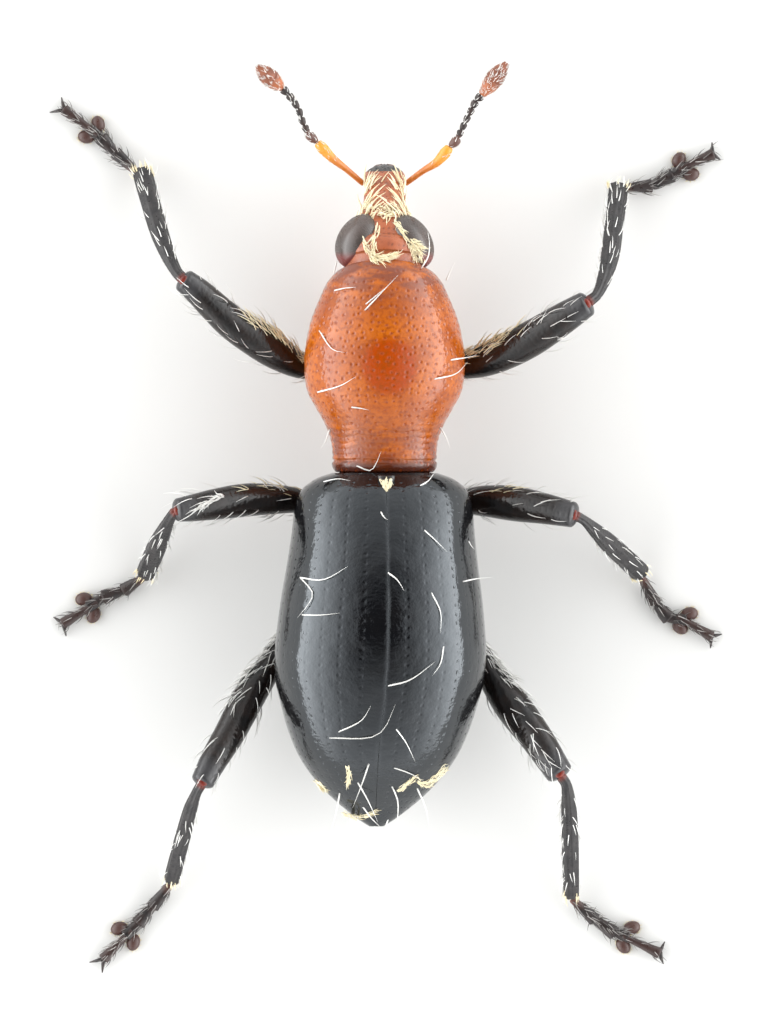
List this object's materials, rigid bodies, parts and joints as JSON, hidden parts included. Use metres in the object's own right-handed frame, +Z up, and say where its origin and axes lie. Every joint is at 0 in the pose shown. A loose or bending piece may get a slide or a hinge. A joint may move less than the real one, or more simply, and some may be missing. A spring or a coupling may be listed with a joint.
{
  "type": "ant-like weevil",
  "caption": "Small ant-like weevil standing on all its legs: orange egg-shaped pronotum, glossy black wing cases, bent rostrum and clubbed elbowed antennae.",
  "frame": {"origin": "on the floor, under the middle of the standing animal's box", "axes": "+Z up; the head points to -Y and the animal's left side is +X"},
  "size_m": [0.0052, 0.007, 0.0016],
  "materials": {
    "orange_cuticle": "glossy",
    "red_brown_cuticle": "satin",
    "black_cuticle": "glossy",
    "leg_cuticle": "glossy",
    "tarsus_cuticle": "satin",
    "antenna_cuticle": "satin",
    "dark_antenna": "matte",
    "eye_surface": "glossy",
    "pale_hair": "matte"
  },
  "bodies": {
    "root": {"prothorax": "orange_cuticle", "head": "red_brown_cuticle", "rostrum": "red_brown_cuticle", "mandibles": "black_cuticle", "eye_left": "eye_surface", "eye_right": "eye_surface", "scutellum": "pale_hair", "elytron_left": "black_cuticle", "elytron_right": "black_cuticle", "pterothorax": "black_cuticle", "abdomen": "black_cuticle", "scape_left": "antenna_cuticle", "funicle_left": "dark_antenna", "club_left": "dark_antenna", "left_fore_coxa": "leg_cuticle", "left_fore_femur": "leg_cuticle", "left_fore_tibia": "leg_cuticle", "left_fore_tarsus": "tarsus_cuticle", "left_mid_coxa": "leg_cuticle", "left_mid_femur": "leg_cuticle", "left_mid_tibia": "leg_cuticle", "left_mid_tarsus": "tarsus_cuticle", "left_hind_coxa": "leg_cuticle", "left_hind_femur": "leg_cuticle", "left_hind_tibia": "leg_cuticle", "left_hind_tarsus": "tarsus_cuticle", "scape_right": "antenna_cuticle", "funicle_right": "dark_antenna", "club_right": "dark_antenna", "right_fore_coxa": "leg_cuticle", "right_fore_femur": "leg_cuticle", "right_fore_tibia": "leg_cuticle", "right_fore_tarsus": "tarsus_cuticle", "right_mid_coxa": "leg_cuticle", "right_mid_femur": "leg_cuticle", "right_mid_tibia": "leg_cuticle", "right_mid_tarsus": "tarsus_cuticle", "right_hind_coxa": "leg_cuticle", "right_hind_femur": "leg_cuticle", "right_hind_tibia": "leg_cuticle", "right_hind_tarsus": "tarsus_cuticle"}
  },
  "joints": []
}
